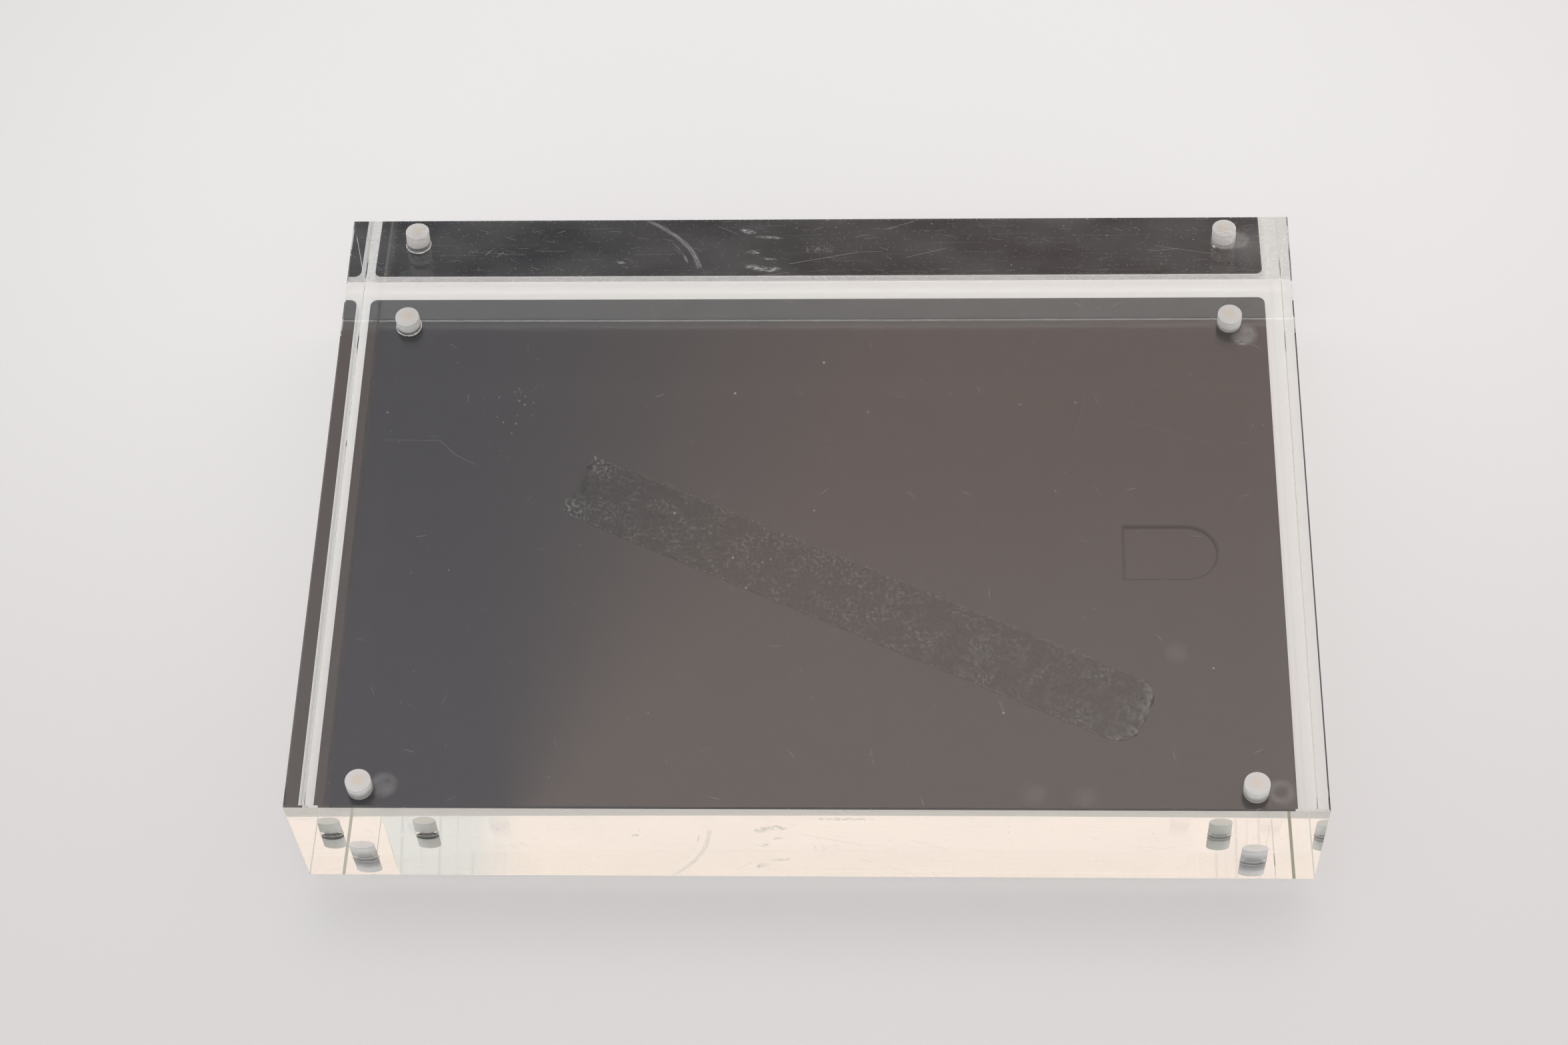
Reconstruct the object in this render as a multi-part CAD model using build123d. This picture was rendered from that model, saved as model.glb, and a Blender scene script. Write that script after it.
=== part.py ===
"""Acrylic block picture frame, lying on its back panel with the display face up.

A thick clear block is held to a thin dark back panel by a magnet in each corner. The block's
magnets stand a little proud of its back face, which leaves the slot that a picture slips into.
The walls at -Y and +Y slope in towards the back, so that the frame leans back a little when it
stands on one of them. The wall at +Y slopes more and is taken as the standing base.

Frame: origin on the surface that the panel lies on, under the middle of the block's display face,
+X along the width, +Y towards the sloping standing base, +Z up through the display face.
"""
import os

from build123d import *

# Driving dimensions in millimetres and degrees

# Clear block
block_width = 178.0
block_depth = 127.0
block_thickness = 28.4
base_setback = 2.8  # the standing base slopes in by this much from the display face to the back face
near_setback = 1.5  # so does the wall at the other end
block_edge_chamfer = 0.3

# Drilled corner holes in the back face, measured in from the edges of the display face
hole_inset_left = 9.6
hole_inset_right = 10.5
hole_inset_near = 12.8
hole_inset_far = 13.2
hole_diameter = 4.6
hole_depth = 5.2
hole_tip_height = 0.4

# Block magnets, their white cups and the clear adhesive round their lower ends
magnet_diameter = 2.6
magnet_length = 3.9
magnet_edge_chamfer = 0.2
picture_slot = 1.0  # the magnets stand proud of the block by this much
collar_height = 1.3
collar_lip_width = 0.25
collar_lip_thickness = 0.12
cup_clearance = 0.05
bond_line = 0.02

# Back panel
panel_thickness = 2.0
panel_side_margin = 2.2  # the panel is this much smaller than the block's back face at each side
panel_end_margin = 3.3
panel_slip = -0.95  # the panel lies this far off centre along X
panel_corner_radius = 1.5
panel_edge_chamfer = 0.2

# D-shaped finger recess in the panel, half way along its right side
recess_length = 17.2
recess_width = 11.4
recess_depth = 0.5
recess_inset = 11.7
recess_corner_radius = 0.5

# Magnets pressed into pockets in the panel's underside
panel_magnet_diameter = 4.8
panel_magnet_thickness = 1.1
panel_skin = 0.7  # left over the pockets
pocket_clearance = 0.05

# Strip of adhesive tape on the panel, placed from the panel's middle
tape_length = 117.0
tape_width = 14.0
tape_thickness = 0.15
tape_turn = -25.4
tape_offset_x = 8.4
tape_offset_y = -9.7

# Levels and places that follow from the dimensions above
panel_top = panel_thickness
block_back = panel_top + picture_slot
block_face = block_back + block_thickness
near_y = -block_depth / 2
far_y = block_depth / 2
back_face_far_y = far_y - base_setback
back_face_near_y = near_y + near_setback

left_x = -block_width / 2 + hole_inset_left
right_x = block_width / 2 - hole_inset_right
near_hole_y = near_y + hole_inset_near
far_hole_y = far_y - hole_inset_far
corners = {
    "far_left": (left_x, far_hole_y),
    "far_right": (right_x, far_hole_y),
    "near_left": (left_x, near_hole_y),
    "near_right": (right_x, near_hole_y),
}

panel_width = block_width - 2 * panel_side_margin
panel_depth = back_face_far_y - back_face_near_y - 2 * panel_end_margin
panel_x = panel_slip
panel_y = (back_face_near_y + back_face_far_y) / 2
pocket_depth = panel_thickness - panel_skin

hole_radius = hole_diameter / 2
magnet_radius = magnet_diameter / 2
magnet_in_hole = magnet_length - picture_slot
from_below = (Align.CENTER, Align.CENTER, Align.MIN)
hang_below = (Align.CENTER, Align.CENTER, Align.MAX)


def upright_cylinder(radius, height, level=0.0):
    """A cylinder that stands on the given level."""
    return Pos(0, 0, level) * Cylinder(radius, height, align=from_below)


def drilled_hole():
    """The space of one corner hole: a cylinder with the shallow cone of the drill's tip."""
    tip = Pos(0, 0, hole_depth) * Cone(hole_radius, 0, hole_tip_height, align=from_below)
    return upright_cylinder(hole_radius, hole_depth) + tip


def acrylic_block():
    """The clear block: a prism with two square walls and two sloping walls, drilled at its corners."""
    outline = Polyline(
        (back_face_near_y, block_back),
        (back_face_far_y, block_back),
        (far_y, block_face),
        (near_y, block_face),
        close=True,
    )
    block = extrude(make_face(Plane.YZ * outline), amount=block_width / 2, both=True)
    block = chamfer(block.edges(), block_edge_chamfer)
    for x, y in corners.values():
        block -= Pos(x, y, block_back) * drilled_hole()
    return block


def magnet_cup():
    """A white cup that fills the hole above the adhesive and grips the magnet's upper end."""
    cup_radius = hole_radius - cup_clearance
    cup_top = hole_depth - cup_clearance
    tip = Pos(0, 0, cup_top) * Cone(cup_radius, 0, hole_tip_height, align=from_below)
    cup = upright_cylinder(cup_radius, cup_top - collar_height, collar_height) + tip
    grip = upright_cylinder(magnet_radius + cup_clearance, magnet_in_hole - collar_height, collar_height)
    return cup - grip


def block_magnet():
    """A short bar magnet that ends one picture slot below the block's back face."""
    bar = upright_cylinder(magnet_radius, magnet_length, -picture_slot)
    rims = bar.edges().filter_by(GeomType.CIRCLE)
    return chamfer(rims, magnet_edge_chamfer)


def adhesive_collar():
    """Clear adhesive round the magnet, with a thin lip squeezed out on the block's back face."""
    ring = upright_cylinder(hole_radius - bond_line, collar_height)
    lip_radius = hole_radius + collar_lip_width
    lip = Cylinder(lip_radius, collar_lip_thickness, align=hang_below)
    passage = upright_cylinder(magnet_radius + bond_line, collar_height + collar_lip_thickness, -collar_lip_thickness)
    return ring + lip - passage


def finger_recess():
    """The D-shaped pocket: straight on the left, a half circle on the right."""
    round_radius = recess_width / 2
    right_end = panel_width / 2 - recess_inset
    left_end = right_end - recess_length
    straight = recess_length - round_radius
    body = Pos(left_end + straight / 2, 0) * Rectangle(straight, recess_width)
    left_corners = body.vertices().group_by(Axis.X)[0]
    face = fillet(left_corners, recess_corner_radius) + Pos(left_end + straight, 0) * Circle(round_radius)
    return Pos(0, 0, panel_thickness - recess_depth) * extrude(face, amount=recess_depth)


def back_panel():
    """The dark panel: a rounded plate with a finger recess on top and magnet pockets underneath."""
    plate = extrude(RectangleRounded(panel_width, panel_depth, panel_corner_radius), amount=panel_thickness)
    rims = plate.edges().group_by(Axis.Z)
    plate = chamfer(rims[0] + rims[-1], panel_edge_chamfer)
    plate = Pos(panel_x, panel_y, 0) * (plate - finger_recess())
    for x, y in corners.values():
        plate -= Pos(x, y, 0) * upright_cylinder(panel_magnet_diameter / 2 + pocket_clearance, pocket_depth)
    return plate


def panel_magnet():
    """A disc magnet seated on the roof of its pocket."""
    return upright_cylinder(panel_magnet_diameter / 2, panel_magnet_thickness, pocket_depth - panel_magnet_thickness)


def tape_strip():
    """A strip of adhesive tape stuck slantwise on the panel."""
    strip = Box(tape_length, tape_width, tape_thickness, align=from_below)
    return Pos(panel_x + tape_offset_x, panel_y + tape_offset_y, panel_top) * Rot(0, 0, tape_turn) * strip


nodes = {
    "acrylic_block": acrylic_block(),
    "back_panel": back_panel(),
    "tape_strip": tape_strip(),
}
for corner, (x, y) in corners.items():
    in_block = Pos(x, y, block_back)
    nodes[f"magnet_cup_{corner}"] = in_block * magnet_cup()
    nodes[f"block_magnet_{corner}"] = in_block * block_magnet()
    nodes[f"adhesive_collar_{corner}"] = in_block * adhesive_collar()
    nodes[f"panel_magnet_{corner}"] = Pos(x, y, 0) * panel_magnet()

os.makedirs("parts", exist_ok=True)
for name, solid in nodes.items():
    export_step(solid, f"parts/{name}.step")
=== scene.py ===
"""Finishes, studio and camera for an acrylic block picture frame.

The frame lies on its dark back panel with the display face up. The clear block, the white cups in its
corners, the squeezed-out adhesive and the strip of tape are surfaces worked out here. The panel and the
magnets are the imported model's own, with finishes from nodes.
"""
import math

import bpy
import numpy as np
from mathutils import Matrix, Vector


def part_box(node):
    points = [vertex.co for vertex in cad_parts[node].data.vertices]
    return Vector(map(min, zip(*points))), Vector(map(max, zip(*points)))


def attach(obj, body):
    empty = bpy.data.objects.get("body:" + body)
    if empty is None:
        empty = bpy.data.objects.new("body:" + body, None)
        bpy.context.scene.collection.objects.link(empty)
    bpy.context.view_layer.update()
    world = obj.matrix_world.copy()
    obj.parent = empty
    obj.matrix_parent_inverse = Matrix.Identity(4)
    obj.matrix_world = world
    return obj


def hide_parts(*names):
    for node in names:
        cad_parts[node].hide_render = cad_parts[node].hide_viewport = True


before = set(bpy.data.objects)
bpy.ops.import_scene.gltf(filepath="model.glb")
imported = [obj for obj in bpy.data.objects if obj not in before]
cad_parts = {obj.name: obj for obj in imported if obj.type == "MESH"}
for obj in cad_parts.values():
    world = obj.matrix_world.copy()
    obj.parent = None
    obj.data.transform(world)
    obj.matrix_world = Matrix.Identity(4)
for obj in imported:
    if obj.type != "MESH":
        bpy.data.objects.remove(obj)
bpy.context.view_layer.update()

MM = 0.001
PER_MM = 1 / MM
CORNERS = ("far_left", "far_right", "near_left", "near_right")

# The clear block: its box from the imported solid, and the dimensions that a box doesn't give
block_low, block_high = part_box("acrylic_block")
BLOCK_DEPTH = 127.0 * MM
BASE_SETBACK = 2.8 * MM
NEAR_SETBACK = 1.5 * MM
FACE_CHAMFER = 0.3 * MM  # round the display face
EDGE_CHAMFER = 0.1 * MM  # on the other edges, which look nearly sharp
CORNER_CUT = 0.05 * MM  # on the upright edges
BLOCK_THICKNESS = block_high.z - block_low.z
BASE_SLOPE = BASE_SETBACK / BLOCK_THICKNESS
NEAR_SLOPE = NEAR_SETBACK / BLOCK_THICKNESS
FAR_EDGE = BLOCK_DEPTH / 2
NEAR_EDGE = -BLOCK_DEPTH / 2

# The panel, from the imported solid
panel_low, panel_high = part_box("back_panel")
PANEL_MIDDLE = ((panel_low.x + panel_high.x) / 2, (panel_low.y + panel_high.y) / 2)

# Marks on the standing base, in millimetres across and up from the back face

# A strength and the two ends
BASE_SCRATCHES = (
    (0.65, (-5.9, 7.9), (7.4, 13.1)),
    (0.35, (7.4, 13.1), (12.3, 13.4)),
    (0.5, (16.9, 10.7), (24.6, 14.8)),
    (0.5, (12.7, 23.2), (18.3, 26.7)),
    (0.4, (7.1, 20.0), (9.7, 20.9)),
    (0.35, (-67.2, 13.7), (-56.7, 12.3)),
    (0.4, (-54.7, 14.1), (-49.0, 14.0)),
    (0.55, (-64.6, 12.2), (-63.2, 14.6)),
    (0.5, (-62.4, 11.5), (-61.0, 13.7)),
    (0.5, (-50.1, 22.0), (-48.5, 23.3)),
    (0.5, (63.6, 13.1), (68.8, 14.1)),
    (0.4, (64.3, 15.4), (75.2, 11.8)),
    (0.5, (-12.1, 2.4), (-6.0, 4.1)),
    (0.35, (-19.0, 24.9), (-15.4, 21.4)),
)
# The middle, half the width, half the height and a turn in degrees
BASE_RUBS = (
    (-13.4, 22.6, 2.2, 1.2, -35.0),
    (-9.4, 19.9, 3.4, 0.8, -8.0),
    (-12.6, 13.2, 1.7, 0.8, -15.0),
    (-11.8, 6.0, 3.6, 1.6, -25.0),
    (-9.2, 5.4, 2.2, 1.3, 20.0),
    (-9.6, 10.2, 2.0, 0.6, -10.0),
    (-38.4, 8.8, 1.2, 0.8, -30.0),
    (3.5, 1.6, 9.0, 0.9, 0.0),
)

# Marks on the panel and its tape, in millimetres of the shared frame

# A strength and the points along the hair
PANEL_HAIRS = (
    (0.14, (-82.2, 24.4), (-71.4, 24.2)),
    (0.22, (-71.4, 24.2), (-68.0, 20.9), (-64.4, 18.8)),
    (0.05, (51.1, 37.2), (50.1, 31.8), (48.4, 23.9)),
    (0.05, (53.6, 26.9), (59.0, 28.0), (62.8, 27.5), (69.5, 24.9), (75.6, 22.7)),
    (1.2, (80.4, 46.2), (81.5, 46.2)),
    (0.3, (33.9, -32.0), (34.6, -34.4)),
)
# The place and a strength
PANEL_SPECKS = (
    (-15.7, 35.0, 0.9),
    (1.1, 42.1, 0.8),
    (9.7, 30.7, 0.35),
    (-0.1, 8.5, 0.4),
    (-82.0, 30.7, 0.4),
    (48.9, 32.7, 0.25),
    (38.4, 32.3, 0.2),
    (44.7, 12.7, 0.2),
    (34.6, -34.4, 0.6),
)
PANEL_SMUDGES = (
    (39.9, -50.8, 0.13),
    (48.7, -51.5, 0.13),
    (65.8, -22.0, 0.13),
)
TAPE_SPECKS = (
    (-26.1, 7.8, 0.5),
    (-14.9, -1.9, 0.4),
    (-7.9, -2.3, 0.25),
    (-12.3, -8.5, 0.5),
    (-9.4, -2.9, 0.25),
)
# The place, a strength and the radius of the clean middle, below 0 where there is none
PANEL_RINGS = (
    (-76.0, 50.6, 0.1, 2.3),
    (81.3, 48.4, 0.75, -1.0),
    (-75.5, -49.4, 0.45, -1.0),
    (83.0, -50.2, 0.45, 1.2),
)


# Node trees

# The Mix node's sockets for colours, by number because its other kinds share their names
FIRST_COLOUR = 6
SECOND_COLOUR = 7
MIXED_COLOUR = 2

# The shares of a mark's width, and of a dash's length, that are at full strength
LINE_CORE = 0.3
SPECK_CORE = 0.5
DASH_CORE = 0.6


class Graph:
    """A node tree, with short calls for the nodes that the finishes use."""

    def __init__(self, tree):
        self.tree = tree
        tree.nodes.clear()

    def feed(self, socket, value):
        """Links a socket to an input, or sets a plain value on it."""
        if isinstance(value, bpy.types.NodeSocket):
            self.tree.links.new(value, socket)
        else:
            socket.default_value = value

    def node(self, kind, inputs=None, **settings):
        """Adds a shader node with its settings and inputs."""
        made = self.tree.nodes.new("ShaderNode" + kind)
        for name, value in settings.items():
            setattr(made, name, value)
        for name, value in (inputs or {}).items():
            self.feed(made.inputs[name], value)
        return made

    def math(self, operation, *values):
        """A sum, product or other operation on numbers."""
        made = self.node("Math", operation=operation)
        for socket, value in zip(made.inputs, values):
            self.feed(socket, value)
        return made.outputs[0]

    def chain(self, operation, values):
        """An operation on the first two numbers, then on its result and the third, and so on."""
        result = values[0]
        for value in values[1:]:
            result = self.math(operation, result, value)
        return result

    def total(self, *values):
        """The sum of several numbers."""
        return self.chain("ADD", values)

    def most(self, *values):
        """The largest of several numbers."""
        return self.chain("MAXIMUM", values)

    def times(self, *values):
        """The product of several numbers."""
        return self.chain("MULTIPLY", values)

    def minus(self, first, second):
        """The first number less the second."""
        return self.math("SUBTRACT", first, second)

    def apart(self, value, middle):
        """How far a number is from a middle value."""
        return self.math("ABSOLUTE", self.minus(value, middle))

    def capped(self, value):
        """A number, or 1 where it is larger."""
        return self.math("MINIMUM", value, 1.0)

    def step(self, value, low, high, to_low=0.0, to_high=1.0):
        """A smooth step from to_low to to_high as value goes from low to high."""
        ends = {"From Min": low, "From Max": high, "To Min": to_low, "To Max": to_high}
        made = self.node("MapRange", {**ends, "Value": value}, interpolation_type="SMOOTHSTEP")
        return made.outputs["Result"]

    def blend(self, share, first, second):
        """A mix of two colours."""
        inputs = {"Factor": share, FIRST_COLOUR: first, SECOND_COLOUR: second}
        return self.node("Mix", inputs, data_type="RGBA").outputs[MIXED_COLOUR]

    def place(self, source="Object"):
        """The point being shaded, in one of Texture Coordinate's frames."""
        return self.node("TexCoord").outputs[source]

    def parts(self, vector):
        """A vector's three numbers."""
        return self.node("SeparateXYZ", {"Vector": vector}).outputs

    def flat(self, across, along):
        """A point of a plane, from its two numbers."""
        return self.node("CombineXYZ", {"X": across, "Y": along}).outputs[0]

    def plan(self, point):
        """A point's x and y in millimetres, and the point of a plane that they make."""
        across, along, _ = self.parts(point)
        x = self.times(across, PER_MM)
        y = self.times(along, PER_MM)
        return x, y, self.flat(x, y)

    def mapped(self, vector, scale=(1, 1, 1), turn=(0, 0, 0), shift=(0, 0, 0)):
        """A vector scaled, turned and then shifted."""
        change = {"Scale": scale, "Rotation": turn, "Location": shift}
        return self.node("Mapping", {"Vector": vector, **change}).outputs["Vector"]

    def vector_math(self, operation, *values):
        """An operation on vectors, as the outputs of its node."""
        return self.node("VectorMath", dict(enumerate(values)), operation=operation).outputs

    def length(self, vector):
        """A vector's length."""
        return self.vector_math("LENGTH", vector)["Value"]

    def distance(self, vector, point):
        """The distance from a point."""
        return self.vector_math("DISTANCE", vector, point)["Value"]

    def noise(self, vector, scale, detail=2.0, rough=0.5):
        """Smooth noise from 0 to 1, with features about one over scale across."""
        pattern = {"Scale": scale, "Detail": detail, "Roughness": rough}
        return self.node("TexNoise", {"Vector": vector, **pattern}).outputs[0]

    def specks(self, vector, cell, size, share):
        """Round specks: where the nearest cell point is closer than size, in a share of the cells.

        The size is a share of the cell's width.
        """
        cells = self.node("TexVoronoi", {"Vector": vector, "Scale": 1.0 / cell}, feature="F1").outputs
        near = self.step(cells["Distance"], size, size * SPECK_CORE)
        picked = self.parts(cells["Color"])[0]
        return self.times(near, self.math("LESS_THAN", picked, share))

    def dashes(self, flat, cell, length, width, share, turn, spread):
        """Short straight marks, one in each of a share of the cells, turned at random within a spread."""
        pattern = {"Vector": flat, "Scale": 1.0 / cell}
        cells = self.node("TexVoronoi", pattern, feature="F1", voronoi_dimensions="2D").outputs
        chance, picked, strength = self.parts(cells["Color"])
        offset = self.vector_math("SUBTRACT", flat, cells["Position"])["Vector"]
        angle = self.total(self.times(chance, spread), turn - spread / 2)
        turned = self.node("VectorRotate", {"Vector": offset, "Angle": angle}, rotation_type="Z_AXIS")
        along, beside, _ = self.parts(turned.outputs[0])
        lengthwise = self.step(self.math("ABSOLUTE", along), length / 2, length / 2 * DASH_CORE)
        sideways = self.step(self.math("ABSOLUTE", beside), width, width * LINE_CORE)
        faintest = 0.35
        boldness = self.total(faintest, self.times(strength, 1.0 - faintest))
        return self.times(lengthwise, sideways, self.math("LESS_THAN", picked, share), boldness)

    def stroke(self, flat, start, end, width):
        """A straight scratch: 1 on the line from start to end, falling to 0 at width from it."""
        run = (end[0] - start[0], end[1] - start[1], 0.0)
        squared = run[0] ** 2 + run[1] ** 2
        unit = (run[0] / squared, run[1] / squared, 0.0)
        from_start = self.vector_math("SUBTRACT", flat, (*start, 0.0))["Vector"]
        share = self.vector_math("DOT_PRODUCT", from_start, unit)["Value"]
        within = self.capped(self.most(share, 0.0))
        nearest = self.node("VectorMath", {0: run, "Scale": within}, operation="SCALE").outputs[0]
        return self.step(self.distance(from_start, nearest), width, width * LINE_CORE)

    def lines(self, flat, routes, width):
        """Placed scratches or hairs, each given as a strength and the points along it."""
        marks = []
        for strength, *route in routes:
            for start, end in zip(route, route[1:]):
                marks.append(self.times(self.stroke(flat, start, end, width), strength))
        return self.most(*marks)

    def spots(self, flat, places, reach, core):
        """Placed round marks, each given as x, y and a strength, that fade from core out to reach."""
        marks = []
        for x, y, strength in places:
            near = self.step(self.distance(flat, (x, y, 0.0)), reach, core)
            marks.append(self.times(near, strength))
        return self.most(*marks)


def new_material(name):
    """An empty material and its graph."""
    material = bpy.data.materials.new(name)
    material.use_nodes = True
    return material, Graph(material.node_tree)


def finish_with(graph, inputs):
    """Ends a graph in one Principled shader."""
    shader = graph.node("BsdfPrincipled", inputs)
    graph.node("OutputMaterial", {"Surface": shader.outputs[0]})


# Surfaces


def skin_through(name, rings, smooth=False, uv=None):
    """A closed skin through a stack of rings, an array of levels by points by three numbers.

    Neighbouring rings are joined by four-sided faces and the first and last rings are closed by caps.
    Points run anticlockwise seen from the last ring, so the faces point outwards. uv gives each ring
    point two numbers, which become the piece's own UV map.
    """
    levels, points, _ = rings.shape
    index = np.arange(levels * points).reshape(levels, points)
    following = np.roll(index, -1, axis=1)
    sides = np.stack([index[:-1], following[:-1], following[1:], index[1:]], axis=-1).reshape(-1, 4)
    faces = sides.tolist() + [index[0, ::-1].tolist(), index[-1].tolist()]
    mesh = bpy.data.meshes.new(name)
    mesh.from_pydata(rings.reshape(-1, 3).tolist(), [], faces)
    mesh.polygons.foreach_set("use_smooth", np.full(len(mesh.polygons), smooth))
    if uv is not None:
        corner_points = np.empty(len(mesh.loops), dtype=np.int32)
        mesh.loops.foreach_get("vertex_index", corner_points)
        layer = mesh.uv_layers.new(name="surface")
        layer.data.foreach_set("uv", uv.reshape(-1, 2)[corner_points].astype(np.float32).ravel())
    mesh.update()
    piece = bpy.data.objects.new(name, mesh)
    bpy.context.scene.collection.objects.link(piece)
    return piece


def turned_rings(profile, centre, steps, ripple=None):
    """A profile of radius and height turned about a vertical axis through centre.

    Point = centre + (radius cos a, radius sin a, height), with a going once round. ripple is an array of
    levels by steps that is added to the radius.
    """
    angle = np.linspace(0.0, 2.0 * math.pi, steps, endpoint=False)
    radius = np.repeat(profile[:, :1], steps, axis=1)
    if ripple is not None:
        radius = radius + ripple
    height = np.repeat(profile[:, 1:], steps, axis=1)
    x = centre[0] + radius * np.cos(angle)
    y = centre[1] + radius * np.sin(angle)
    return np.stack([x, y, centre[2] + height], axis=-1)


def dress(piece, material, body, slot, *nodes):
    """Gives a new piece its finish and its body, and hides the solids that it stands for."""
    piece.data.materials.append(material)
    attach(piece, body)
    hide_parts(*nodes)


def coat(node, material):
    """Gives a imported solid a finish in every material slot."""
    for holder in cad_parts[node].material_slots:
        holder.material = material


# Finishes


def base_scratches(graph, wall):
    """Specks, short scratches at all angles, long nearly level ones and the placed scratches."""
    stretched = graph.mapped(wall, scale=(0.35, 1.0, 1.0))
    short = graph.dashes(wall, cell=1.7, length=0.9, width=0.05, share=0.35, turn=0.5, spread=2.6)
    longer = graph.dashes(wall, cell=4.5, length=2.6, width=0.06, share=0.45, turn=0.2, spread=1.6)
    level = graph.dashes(stretched, cell=4.0, length=3.6, width=0.06, share=0.35, turn=0.0, spread=0.35)
    return graph.most(
        graph.times(graph.specks(wall, cell=0.8, size=0.14, share=0.45), 0.6),
        graph.specks(wall, cell=2.6, size=0.065, share=0.6),
        graph.times(short, 0.5),
        graph.times(longer, 0.6),
        graph.times(level, 0.3),
        graph.lines(wall, BASE_SCRATCHES, width=0.09),
    )


def base_rubs(graph, wall):
    """Rubbed patches: grainy ovals, each turned its own way."""
    drawn_out = graph.mapped(wall, scale=(0.9, 2.4, 1.0), turn=(0.0, 0.0, 0.3))
    grain = graph.noise(drawn_out, 1.0, 4.0, 0.65)
    ovals = []
    for middle_x, middle_y, half_width, half_height, turn in BASE_RUBS:
        shifted = graph.mapped(wall, shift=(-middle_x, -middle_y, 0.0))
        turned = graph.mapped(shifted, turn=(0.0, 0.0, -math.radians(turn)))
        squeezed = graph.mapped(turned, scale=(1 / half_width, 1 / half_height, 0.0))
        ovals.append(graph.step(graph.length(squeezed), 1.0, 0.3))
    return graph.times(graph.most(*ovals), graph.step(grain, 0.42, 0.62))


def base_arcs(graph, wall, x, height):
    """A wide fibrous arc with a thinner one beside it, about the same centre."""
    centre = (-54.8, 5.2, 0.0)
    wide_radius = 31.5
    thin_radius = 29.5
    from_centre = graph.distance(wall, centre)
    drawn_out = graph.mapped(graph.flat(from_centre, height), scale=(5.0, 0.25, 1.0))
    fibres = graph.noise(drawn_out, 1.0, 3.0, 0.6)
    wide_arc = graph.times(
        graph.step(graph.apart(from_centre, wide_radius), 0.75, 0.2),
        graph.step(x, -33.5, -31.0),
        graph.step(height, 5.4, 8.0),
        graph.step(fibres, 0.32, 0.72),
        0.75,
    )
    thin_arc = graph.times(
        graph.step(graph.apart(from_centre, thin_radius), 0.4, 0.1),
        graph.step(x, -28.6, -27.4),
        graph.step(height, 8.0, 9.5),
        graph.step(fibres, 0.40, 0.72),
        0.5,
    )
    return graph.most(wide_arc, thin_arc)


def base_wear(graph, point):
    """Wear on the sloping wall that the block stands on, from 0 to 1.

    The wall is read as a plane of millimetres across and up from the back face. Besides scratches, rubbed
    patches and arcs it has a tangle of hairs, a chipped upper rim, a hazy foot and a thin veil, which is
    thicker in one fogged place at the right.
    """
    across, _, up = graph.parts(point)
    x = graph.times(across, PER_MM)
    height = graph.times(graph.minus(up, block_low.z), PER_MM)
    wall = graph.flat(x, height)

    hair = graph.step(graph.apart(graph.noise(wall, 0.9, 2.0), 0.5), 0.02, 0.006)
    from_tangle = graph.distance(graph.mapped(wall, scale=(0.6, 1.0, 0.0)), (0.1, 14.4, 0.0))
    tangle = graph.times(hair, graph.step(from_tangle, 2.4, 1.2), 0.5)
    chips = graph.step(graph.noise(wall, 2.2, 3.0, 0.7), 0.56, 0.68)
    rim = graph.times(graph.step(height, 26.6, 27.8), chips, 0.7)
    streaks = graph.step(graph.noise(wall, 0.2, 3.0), 0.3, 0.8)
    haze = graph.times(graph.step(height, 3.2, 0.6), streaks, 0.2)
    marks = graph.most(
        base_scratches(graph, wall),
        base_rubs(graph, wall),
        base_arcs(graph, wall, x, height),
        tangle,
        rim,
        haze,
    )

    veil = graph.times(graph.step(graph.noise(wall, 0.05, 2.0), 0.25, 0.75), 0.10)
    from_fog = graph.distance(graph.mapped(wall, scale=(1.0, 0.45, 0.0)), (82.5, 6.5, 0.0))
    fog = graph.times(graph.step(from_fog, 5.5, 1.0), 0.08)
    return graph.capped(graph.total(marks, veil, fog))


def clear_acrylic(name, worn=False):
    """Polished clear acrylic, or the same acrylic with the base's wear.

    Shadow rays and most diffuse rays go straight through, so that light reaches what lies in the block
    and under it. The volume takes up a little light, blue most of all.
    """
    material, graph = new_material(name)
    clear = {
        "Base Color": (0.99, 0.99, 0.985, 1.0),
        "Roughness": 0.0,
        "IOR": 1.52,
        "Transmission Weight": 1.0,
    }
    if worn:
        wear = base_wear(graph, graph.place())
        clear["Base Color"] = (0.97, 0.985, 1.0, 1.0)
        clear["Transmission Weight"] = graph.minus(1.0, graph.times(wear, 0.9))
    acrylic = graph.node("BsdfPrincipled", clear).outputs[0]
    rays = graph.node("LightPath").outputs
    straight = graph.most(rays["Is Shadow Ray"], graph.times(rays["Is Diffuse Ray"], 0.65))
    open_way = graph.node("BsdfTransparent", {"Color": (0.97, 0.97, 0.965, 1.0)}).outputs[0]
    surface = graph.node("MixShader", {0: straight, 1: acrylic, 2: open_way}).outputs[0]
    yellowing = graph.node("VolumeAbsorption", {"Color": (0.58, 0.55, 0.0, 1.0), "Density": 1.0}).outputs[0]
    graph.node("OutputMaterial", {"Surface": surface, "Volume": yellowing})
    return material


def cut_edge(graph, x, y):
    """1 on the panel's cut edges and 0 inside, from the distance to a rectangle with rounded corners."""
    radius = 1.5
    fade_start = 0.14
    fade_end = 0.08
    half_width = (panel_high.x - panel_low.x) / 2 / MM - radius
    half_depth = (panel_high.y - panel_low.y) / 2 / MM - radius
    aside = graph.minus(graph.apart(x, PANEL_MIDDLE[0] / MM), half_width)
    ahead = graph.minus(graph.apart(y, PANEL_MIDDLE[1] / MM), half_depth)
    outside = graph.length(graph.flat(graph.most(aside, 0.0), graph.most(ahead, 0.0)))
    inside = graph.math("MINIMUM", graph.most(aside, ahead), 0.0)
    return graph.step(graph.total(outside, inside), radius - fade_start, radius - fade_end)


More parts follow.
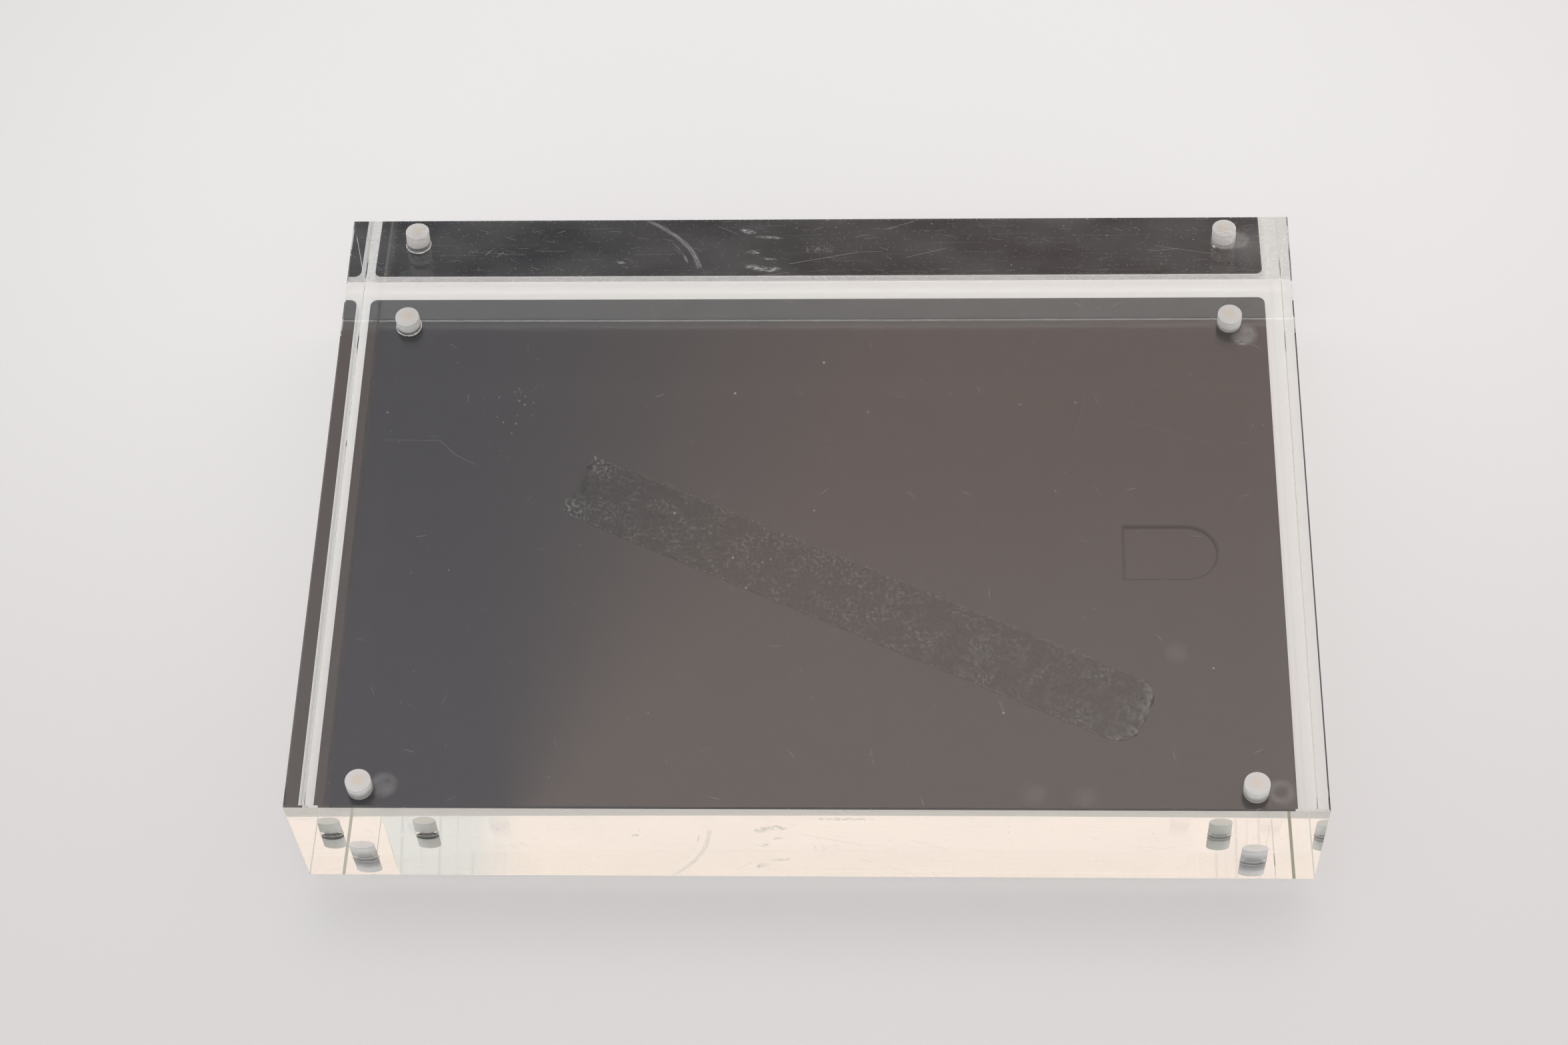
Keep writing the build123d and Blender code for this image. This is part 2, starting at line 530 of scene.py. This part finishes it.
def recess_outline(graph, x, y):
    """The distance from the outline of the panel's D-shaped recess, below 0 inside it."""
    radius = 5.7
    length = 17.2
    inset = 11.7
    right_end = panel_high.x / MM - inset
    left_end = right_end - length
    beyond = graph.most(graph.total(x, radius - right_end), 0.0)
    aside = graph.minus(y, PANEL_MIDDLE[1] / MM)
    reach = graph.length(graph.flat(beyond, aside))
    return graph.most(graph.minus(reach, radius), graph.minus(left_end, x))


def panel_lint(graph, top):
    """Dust, fibres and hairs on the panel, some at random and some placed."""
    from_gathering = graph.distance(graph.mapped(top, scale=(1.2, 0.8, 0.0)), (-70.0, 25.0, 0.0))
    gathered = graph.step(from_gathering, 9.0, 3.0)
    fibres = graph.dashes(top, cell=11.0, length=2.2, width=0.07, share=0.3, turn=0.3, spread=3.0)
    return graph.most(
        graph.times(graph.specks(top, cell=2.2, size=0.05, share=0.5), 0.7),
        graph.times(graph.specks(top, cell=8.0, size=0.034, share=0.6), 0.8),
        graph.times(graph.specks(top, cell=1.3, size=0.2, share=0.5), gathered, 0.5),
        graph.times(fibres, 0.5),
        graph.lines(top, PANEL_HAIRS, width=0.11),
        graph.spots(top, PANEL_SPECKS, reach=0.32, core=0.14),
    )


def panel_pale_marks(graph, top):
    """Pale marks on the panel: round smudges, and pale rings near its corners."""
    blotches = graph.noise(top, 1.4, 4.0, 0.7)
    smudges = graph.times(graph.spots(top, PANEL_SMUDGES, reach=3.0, core=0.4), blotches)
    rings = []
    for x, y, strength, hollow in PANEL_RINGS:
        reach = graph.distance(top, (x, y, 0.0))
        outer = graph.step(reach, 3.0, 1.6)
        inner = graph.step(reach, hollow - 0.8, hollow + 0.8)
        rings.append(graph.times(outer, inner, strength))
    smears = graph.step(graph.noise(top, 0.5, 3.0, 0.6), 0.05, 0.65)
    return graph.most(graph.times(graph.most(*rings), smears, 0.55), smudges)


def charcoal_panel():
    """Glossy charcoal plastic with pale cut edges, lint, pale smudges and rings, and a painted darker
    reflection along the recess's rim.
    """
    material, graph = new_material("charcoal_panel")
    point = graph.place()
    x, y, top = graph.plan(point)
    grain = graph.noise(point, 1 / (0.6 * MM), 3.0)
    cloud = graph.noise(point, 1 / (35.0 * MM), 3.0)
    lint = panel_lint(graph, top)
    # Pale smudges, and pale rings near the corners
    rubbed = panel_pale_marks(graph, top)
    cut = cut_edge(graph, x, y)

    charcoal = graph.blend(cloud, (0.0055, 0.0065, 0.007, 1.0), (0.010, 0.0112, 0.0115, 1.0))
    marked = graph.blend(graph.capped(rubbed), charcoal, (0.36, 0.37, 0.38, 1.0))
    dusty = graph.blend(graph.capped(graph.times(lint, 0.5)), marked, (0.62, 0.60, 0.57, 1.0))
    colour = graph.blend(cut, dusty, (0.78, 0.79, 0.80, 1.0))
    dullness = graph.total(
        0.1,
        graph.times(grain, 0.05),
        graph.times(lint, 0.3),
        graph.times(rubbed, 0.6),
        graph.times(cut, 0.4),
    )
    # Painted shade: less shine along the recess's rim, standing in for the darker reflections at its edges
    from_rim = graph.math("ABSOLUTE", recess_outline(graph, x, y))
    shine = graph.step(from_rim, 0.1, 0.6, 0.24, 0.5)
    finish_with(
        graph,
        {"Base Color": colour, "Roughness": dullness, "IOR": 1.49, "Specular IOR Level": shine},
    )
    return material


def mottled_tape():
    """Thin glossy tape, darker and greener than the panel, with pale grains, beaded edges and torn corners.

    The UV map says how far along the strip and how far over it a point lies, from 0 to 1.
    """
    material, graph = new_material("mottled_tape")
    _, _, flat = graph.plan(graph.place())
    along, over, _ = graph.parts(graph.place("UV"))
    from_edge = graph.math("MINIMUM", over, graph.minus(1.0, over))

    grains = graph.step(graph.noise(flat, 1 / 0.7, 4.0, 0.75), 0.46, 0.62)
    patches = graph.step(graph.noise(flat, 1 / 5.5, 5.0, 0.7), 0.44, 0.62)
    grainy = graph.times(grains, graph.total(0.02, graph.times(patches, 0.13)))
    clouds = graph.step(graph.noise(flat, 1 / 2.2, 3.0, 0.6), 0.48, 0.7)
    clouded = graph.times(clouds, graph.step(along, 0.5, 0.8), 0.05)
    drops = graph.step(graph.noise(flat, 1 / 0.5, 1.0), 0.48, 0.62)
    beads = graph.times(graph.step(from_edge, 0.02, 0.008), drops, 0.18)
    torn = graph.times(graph.step(along, 0.08, 0.0), graph.step(from_edge, 0.42, 0.15), grains, 0.32)
    flakes = graph.step(graph.noise(flat, 1 / 1.2, 2.0), 0.4, 0.6)
    worn_end = graph.times(graph.step(along, 0.97, 1.0), flakes, 0.2)
    dust = graph.spots(flat, TAPE_SPECKS, reach=0.32, core=0.14)

    pale = graph.most(grainy, clouded, beads, torn, worn_end, dust)
    colour = graph.blend(graph.capped(pale), (0.0025, 0.0055, 0.0045, 1.0), (0.41, 0.44, 0.42, 1.0))
    dullness = graph.total(0.12, graph.times(pale, 0.6))
    finish_with(
        graph,
        {"Base Color": colour, "Roughness": dullness, "IOR": 1.49, "Specular IOR Level": 0.33},
    )
    return material


def white_cup(name, clearness):
    """Translucent white plastic: a creamier middle to the crown, a side painted paler than the crown to
    stand in for light coming through the plastic, and a wall that gets clearer towards its foot.

    The UV map's second number is the share of the way from the middle of the crown to the open end.
    """
    material, graph = new_material(name)
    _, down, _ = graph.parts(graph.place("UV"))
    body = graph.noise(graph.place(), 1 / (0.8 * MM), 3.0)
    crown = graph.blend(graph.step(down, 0.04, 0.28), (0.62, 0.57, 0.49, 1.0), (0.61, 0.61, 0.61, 1.0))
    # Painted light: the side is paler than the crown, standing in for light coming through the plastic
    side = graph.blend(graph.step(down, 0.38, 0.5), crown, (0.85, 0.86, 0.855, 1.0))
    cloudy = graph.blend(graph.times(body, 0.2), side, (0.78, 0.78, 0.78, 1.0))
    clearer_foot = graph.step(down, 0.60, 0.88, 0.0, clearness)
    open_end = graph.step(down, 0.985, 0.998)
    finish_with(
        graph,
        {
            "Base Color": cloudy,
            "Roughness": 0.35,
            "IOR": 1.05,
            "Transmission Weight": graph.most(clearer_foot, open_end),
            "Subsurface Weight": 0.6,
            "Subsurface Radius": (1.0, 0.95, 0.85),
            "Subsurface Scale": 1.0 * MM,
        },
    )
    return material


def set_adhesive(name, milky, lip):
    """Clear adhesive, with shares of its band and of its ragged lip that have turned white."""
    material, graph = new_material(name)
    point = graph.place()
    height = graph.minus(graph.parts(point)[2], block_low.z)
    crumbs = graph.noise(point, 1 / (0.3 * MM), 3.0)
    above_lip = graph.step(height, 0.1 * MM, 0.3 * MM)
    below_top = graph.step(height, 1.29 * MM, 1.2 * MM)
    band = graph.times(above_lip, below_top, milky)
    frosted = graph.times(graph.step(height, 0.12 * MM, 0.04 * MM), graph.step(crumbs, 0.30, 0.5), lip)
    white = graph.most(band, frosted)
    finish_with(
        graph,
        {
            "Base Color": (0.90, 0.90, 0.885, 1.0),
            "Roughness": graph.times(white, 0.7),
            "IOR": 1.05,
            "Transmission Weight": graph.minus(1.0, white),
        },
    )
    return material


def nickel():
    """Dull dark nickel plate with fine handling marks."""
    material, graph = new_material("magnet_nickel")
    point = graph.place()
    marks = graph.noise(graph.mapped(point, scale=(9000.0, 2500.0, 4000.0)), 1.0, 3.0)
    stain = graph.noise(point, 1 / (0.9 * MM), 3.0)
    colour = graph.blend(stain, (0.12, 0.118, 0.114, 1.0), (0.24, 0.236, 0.23, 1.0))
    dullness = graph.total(0.35, graph.times(marks, 0.2))
    finish_with(graph, {"Base Color": colour, "Metallic": 0.8, "Roughness": dullness})
    return material


# Pieces


def clear_block(polished, worn):
    """The block: a rectangular outline with cut corners carried up from the back face to the display face.

    The outline's far and near sides move out with height by their walls' slopes, and the first and last
    rings are drawn in by the chamfer. The far wall has the worn finish.
    """
    half = block_high.x

    def outline(level, inset):
        far = FAR_EDGE - (block_high.z - level) * BASE_SLOPE - inset
        near = NEAR_EDGE + (block_high.z - level) * NEAR_SLOPE + inset
        side = half - inset
        cut = CORNER_CUT
        right = [(side - cut, near), (side, near + cut), (side, far - cut), (side - cut, far)]
        left = [(-side + cut, far), (-side, far - cut), (-side, near + cut), (-side + cut, near)]
        return [(x, y, level) for x, y in right + left]

    rings = np.array(
        [
            outline(block_low.z, EDGE_CHAMFER),
            outline(block_low.z + EDGE_CHAMFER, 0.0),
            outline(block_high.z - FACE_CHAMFER, 0.0),
            outline(block_high.z, FACE_CHAMFER),
        ]
    )
    piece = skin_through("clear_block", rings)
    dress(piece, polished, "block", "clear_acrylic", "acrylic_block")
    piece.data.materials.append(worn)
    points_round = rings.shape[1]
    wall_level = 1
    far_side = 3
    piece.data.polygons[wall_level * points_round + far_side].material_index = 1


def corner_cup(corner, material):
    """A white cup: a flat cone crown, a rounded rim and a straight side, turned about the hole's axis.

    It fills its drilled hole, because the adhesive bonds it to the wall. The UV map's second number is
    the share of the way from the middle of the crown down to the open end.
    """
    node = f"magnet_cup_{corner}"
    low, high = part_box(node)
    clearance = 0.05 * MM
    radius = (high.x - low.x) / 2 + clearance
    height = high.z - low.z
    rim = 0.18 * MM
    low_rim = 0.02 * MM
    cone = 0.4 * MM
    middle = 0.01 * MM  # the radius of the smallest ring at each end
    shoulder = height - cone
    turn = np.linspace(0.0, math.pi / 2, 7)
    crown = np.array([[middle, height], [0.45 * radius, height - 0.3 * cone]])
    corner_arc = np.stack([radius - rim + rim * np.sin(turn), shoulder - rim + rim * np.cos(turn)], axis=-1)
    side = np.array(
        [
            [radius, 0.5 * height],
            [radius, 0.2 * MM],
            [radius, low_rim],
            [radius - low_rim, 0.0],
            [radius - 0.15 * MM, 0.0],
            [middle, 0.0],
        ]
    )
    profile = np.concatenate([crown, corner_arc, side])
    travelled = np.concatenate([[0.0], np.cumsum(np.hypot(*np.diff(profile, axis=0).T))])
    to_open_end = travelled[-3]
    travelled = np.minimum(travelled / to_open_end, 1.0)
    steps = 72
    centre = ((low.x + high.x) / 2, (low.y + high.y) / 2, low.z)
    rings = turned_rings(profile[::-1], centre, steps)
    around = np.broadcast_to(np.linspace(0.0, 1.0, steps), rings.shape[:2])
    down = np.broadcast_to(travelled[::-1, None], rings.shape[:2])
    piece = skin_through(f"cup_{corner}", rings, smooth=True, uv=np.stack([around, down], axis=-1))
    dress(piece, material, "block", "white_cup", node)


def adhesive_ring(corner, material, seed):
    """Adhesive round a magnet: a band in the hole's mouth and a ragged lip on the block's back face.

    The lip's outer radius is rippled by a sum of five sine waves with fixed phases, so each corner's
    lip differs.
    """
    node = f"adhesive_collar_{corner}"
    low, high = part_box(node)
    magnet_low, magnet_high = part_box(f"block_magnet_{corner}")
    bond_line = 0.02 * MM
    bore = (magnet_high.x - magnet_low.x) / 2 + bond_line
    outer = (high.x - low.x) / 2
    lip = 0.25 * MM
    lip_edge = 0.05 * MM
    bevel = 0.02 * MM
    shoulder = 0.15 * MM
    mouth = block_low.z - low.z
    wall = outer - lip
    top = high.z - low.z
    profile = np.array(
        [
            [bore, 0.0],
            [outer - lip_edge, 0.0],
            [outer, 0.5 * mouth],
            [outer - lip_edge, mouth],
            [wall, mouth + bevel],
            [wall, top - shoulder],
            [wall, top - bevel],
            [wall - bevel, top],
            [wall - shoulder, top],
            [bore, top],
        ]
    )
    lip_levels = slice(1, 4)
    steps = 120
    angle = np.linspace(0.0, 2.0 * math.pi, steps, endpoint=False)
    waves = sum(np.sin(count * angle + seed * (count + 1.7)) / count ** 0.5 for count in (3, 5, 8, 13, 21))
    tear = 0.06 * MM
    ragged = np.zeros((len(profile), steps))
    ragged[lip_levels] = tear * np.clip(waves - 0.6, -1.5, 0.0)
    centre = ((low.x + high.x) / 2, (low.y + high.y) / 2, low.z)
    rings = turned_rings(profile, centre, steps, ragged)
    piece = skin_through(f"adhesive_{corner}", rings, smooth=True)
    dress(piece, material, "block", "clear_adhesive", node)


def tape(material):
    """The tape: a thin strip with a forked, torn end at the left and a rounded end at the right.

    Across the strip, t goes from 0 to 1. Each end is a curve of t: the left one has a notch shaped like a
    bell curve and the right one falls back at its corners. A ring at share s joins the two curves, and
    goes over the strip and back under it. The UV map is s and t.
    """
    length = 117.0 * MM
    width = 14.0 * MM
    thickness = 0.15 * MM
    turn = math.radians(-25.4)
    middle_x = PANEL_MIDDLE[0] + 8.4 * MM
    middle_y = PANEL_MIDDLE[1] - 9.7 * MM
    share = np.linspace(0.0, 1.0, 160)
    over = np.linspace(0.0, 1.0, 41)
    tear = 0.5 * np.sin(23.0 * over) + 0.3 * np.sin(51.0 * over + 1.0)
    notch = 2.2 * np.exp(-(((over - 0.48) / 0.2) ** 2))
    rounding = 3.2 * np.abs(2.0 * over - 1.0) ** 5
    left_end = (notch + 0.8 * tear + 0.8) * MM
    right_end = length - (rounding + 0.3 * tear + 0.4) * MM
    along = left_end + share[:, None] * (right_end - left_end)
    wobble = 0.06 * MM * (np.sin(260.0 * share) + np.sin(97.0 * share + 2.0))
    straight = (over - 0.5) * (width - 0.3 * MM)
    outward = np.sign(over - 0.5) * np.abs(2 * over - 1)
    across = straight + wobble[:, None] * outward
    x = along - length / 2
    plan = np.stack(
        [
            middle_x + x * math.cos(turn) - across * math.sin(turn),
            middle_y + x * math.sin(turn) + across * math.cos(turn),
        ],
        axis=-1,
    )
    under = np.concatenate([plan, np.full(x.shape + (1,), panel_high.z)], axis=-1)
    above = np.concatenate([plan, np.full(x.shape + (1,), panel_high.z + thickness)], axis=-1)
    rings = np.concatenate([under[:, ::-1], above], axis=1)
    s = np.broadcast_to(share[:, None], x.shape)
    t = np.broadcast_to(over, x.shape)
    flat = np.stack([s, t], axis=-1)
    piece = skin_through("tape", rings, uv=np.concatenate([flat[:, ::-1], flat], axis=1))
    dress(piece, material, "panel", "tape", "tape_strip")


# Studio


def table_top():
    """Pale table top with painted light: paler round a point behind the block, darker further out and
    towards the near side, with a painted bright strip behind the block's base and a painted shadow in front
    of it.
    """
    material, graph = new_material("table_top")
    point = graph.place()
    across, along, _ = graph.parts(point)
    cloud = graph.noise(point, 6.0, 2.0)
    # Painted light: paler round a point behind the block, darker further out and towards the near side
    middle = graph.blend(cloud, (0.835, 0.85, 0.84, 1.0), (0.865, 0.88, 0.87, 1.0))
    from_middle = graph.distance(graph.mapped(point, scale=(0.8, 1.0, 1.0)), (0.0, 0.10, 0.0))
    plain = graph.blend(graph.step(from_middle, 0.05, 0.27), middle, (0.675, 0.683, 0.67, 1.0))
    nearer = graph.step(along, 0.12, -0.14)
    painted_falloff = graph.blend(graph.times(nearer, 0.6), plain, (0.70, 0.69, 0.685, 1.0))
    from_middle_line = graph.math("ABSOLUTE", across)
    # Painted light: a bright strip on the table just behind the block's base
    behind = graph.times(
        graph.step(along, 0.0620, 0.0634),
        graph.step(along, 0.080, 0.070),
        graph.step(from_middle_line, 0.090, 0.084),
    )
    with_painted_light_strip = graph.blend(behind, painted_falloff, (0.96, 0.95, 0.945, 1.0))
    # Painted shadow on the table in front of the block
    in_front = graph.times(graph.step(along, -0.082, -0.064), graph.step(along, -0.040, -0.058))
    shade = graph.times(in_front, graph.step(from_middle_line, 0.098, 0.075), 0.12)
    colour = graph.blend(shade, with_painted_light_strip, (0.10, 0.10, 0.11, 1.0))
    finish_with(graph, {"Base Color": colour, "Roughness": 0.35, "IOR": 1.4})
    return material


def floor():
    """The wide table top that the frame lies on."""
    reach = 1.6
    square = [(-reach, -reach, 0), (reach, -reach, 0), (reach, reach, 0), (-reach, reach, 0)]
    mesh = bpy.data.meshes.new("floor")
    mesh.from_pydata(square, [], [(0, 1, 2, 3)])
    mesh.materials.append(table_top())
    piece = bpy.data.objects.new("floor", mesh)
    bpy.context.scene.collection.objects.link(piece)


def ceiling_colour(graph, aside, ahead):
    """The ceiling's colour: warm at the right and cool at the left, with a slanting edge between them.

    The edge gets softer further away. On the camera's side the ceiling is dimmer.
    """
    from_edge = graph.most(graph.minus(ahead, 0.53), 0.0)
    edge = graph.total(graph.times(from_edge, 0.27), -0.144)
    softness = graph.total(graph.times(from_edge, 0.47), 0.012)
    warm_share = graph.step(graph.math("DIVIDE", graph.minus(aside, edge), softness), -1.0, 1.0)
    nearer = graph.step(ahead, 0.72, 0.54)
    overhead = graph.step(ahead, 0.54, 0.36)
    warm = graph.blend(nearer, (1.07, 0.86, 0.81, 1.0), (1.27, 1.07, 1.02, 1.0))
    cool = graph.blend(nearer, (0.63, 0.60, 0.655, 1.0), (0.76, 0.72, 0.79, 1.0))
    cool = graph.blend(overhead, cool, (1.0, 0.98, 1.0, 1.0))
    both = graph.blend(warm_share, cool, warm)
    return graph.blend(graph.step(ahead, 0.15, -0.35), both, (0.70, 0.72, 0.76, 1.0))


def surroundings():
    """Soft studio light all round: a round lamp overhead, a brighter tube, a dark patch below the camera.

    The colours go by direction. Over the object, a direction is read as the point (x / z, y / z) on a
    level ceiling.
    """
    world = bpy.data.worlds.new("studio")
    world.use_nodes = True
    bpy.context.scene.world = world
    graph = Graph(world.node_tree)
    direction = graph.place("Generated")
    x, y, z = graph.parts(direction)
    rise = graph.most(z, 0.02)
    aside = graph.math("DIVIDE", x, rise)
    ahead = graph.math("DIVIDE", y, rise)

    ceiling = ceiling_colour(graph, aside, ahead)
    off_lamp = graph.length(graph.flat(aside, graph.total(ahead, 0.25)))
    lamp = graph.blend(graph.step(off_lamp, 0.64, 0.34), ceiling, (1.50, 1.50, 1.52, 1.0))
    tube = graph.times(
        graph.step(graph.apart(aside, -0.03), 0.36, 0.28),
        graph.step(graph.apart(ahead, 0.15), 0.075, 0.05),
    )
    lit = graph.blend(tube, lamp, (4.2, 4.25, 4.3, 1.0))
    walls = graph.blend(graph.step(z, 0.25, 0.6), (0.66, 0.65, 0.64, 1.0), lit)

    dark_patch = (-0.03, -0.848, 0.529)
    facing = graph.vector_math("DOT_PRODUCT", direction, dark_patch)["Value"]
    shaded = graph.blend(graph.step(facing, 0.95, 0.985), walls, (0.05, 0.05, 0.055, 1.0))
    background = graph.node("Background", {"Color": shaded, "Strength": 1.0})
    graph.node("OutputWorld", {"Surface": background.outputs[0]})


def photograph():
    """The camera at the photograph's angle, with its lens from the focal length in picture pixels."""
    picture_width = 2352.0
    focal_length = 4926.6
    camera = bpy.data.cameras.new("camera")
    camera.sensor_width = 36.0
    camera.lens = focal_length * camera.sensor_width / picture_width
    camera.clip_start = 0.01
    holder = bpy.data.objects.new("camera", camera)
    holder.location = (23.28 * MM, -325.24 * MM, block_low.z + 521.88 * MM)
    holder.rotation_euler = (0.57521, 0.04008, 0.02545)
    bpy.context.scene.collection.objects.link(holder)
    bpy.context.scene.camera = holder


clear_block(clear_acrylic("clear_acrylic"), clear_acrylic("worn_acrylic", worn=True))
coat("back_panel", charcoal_panel())
tape(mottled_tape())
# The near and far cups are one plastic, but the far cups are made less clear so that they look paler:
# painted light
near_cup = white_cup("white_cup", clearness=0.45)
paler_far_cup = white_cup("far_white_cup_painted_paler", clearness=0.1)
clear_band = set_adhesive("clear_adhesive", milky=0.0, lip=0.9)
milky_band = set_adhesive("milky_adhesive", milky=0.4, lip=0.0)
magnet_plate = nickel()
for number, corner in enumerate(CORNERS):
    corner_cup(corner, paler_far_cup if corner.startswith("far") else near_cup)
    adhesive_ring(corner, clear_band if corner == "far_left" else milky_band, seed=1.0 + number)
    coat(f"block_magnet_{corner}", magnet_plate)
    coat(f"panel_magnet_{corner}", magnet_plate)

floor()
surroundings()
photograph()

settings = bpy.context.scene
settings.view_settings.view_transform = "Standard"
bounces = 24
settings.cycles.max_bounces = bounces
settings.cycles.transmission_bounces = bounces
settings.cycles.glossy_bounces = bounces
settings.cycles.use_denoising = True
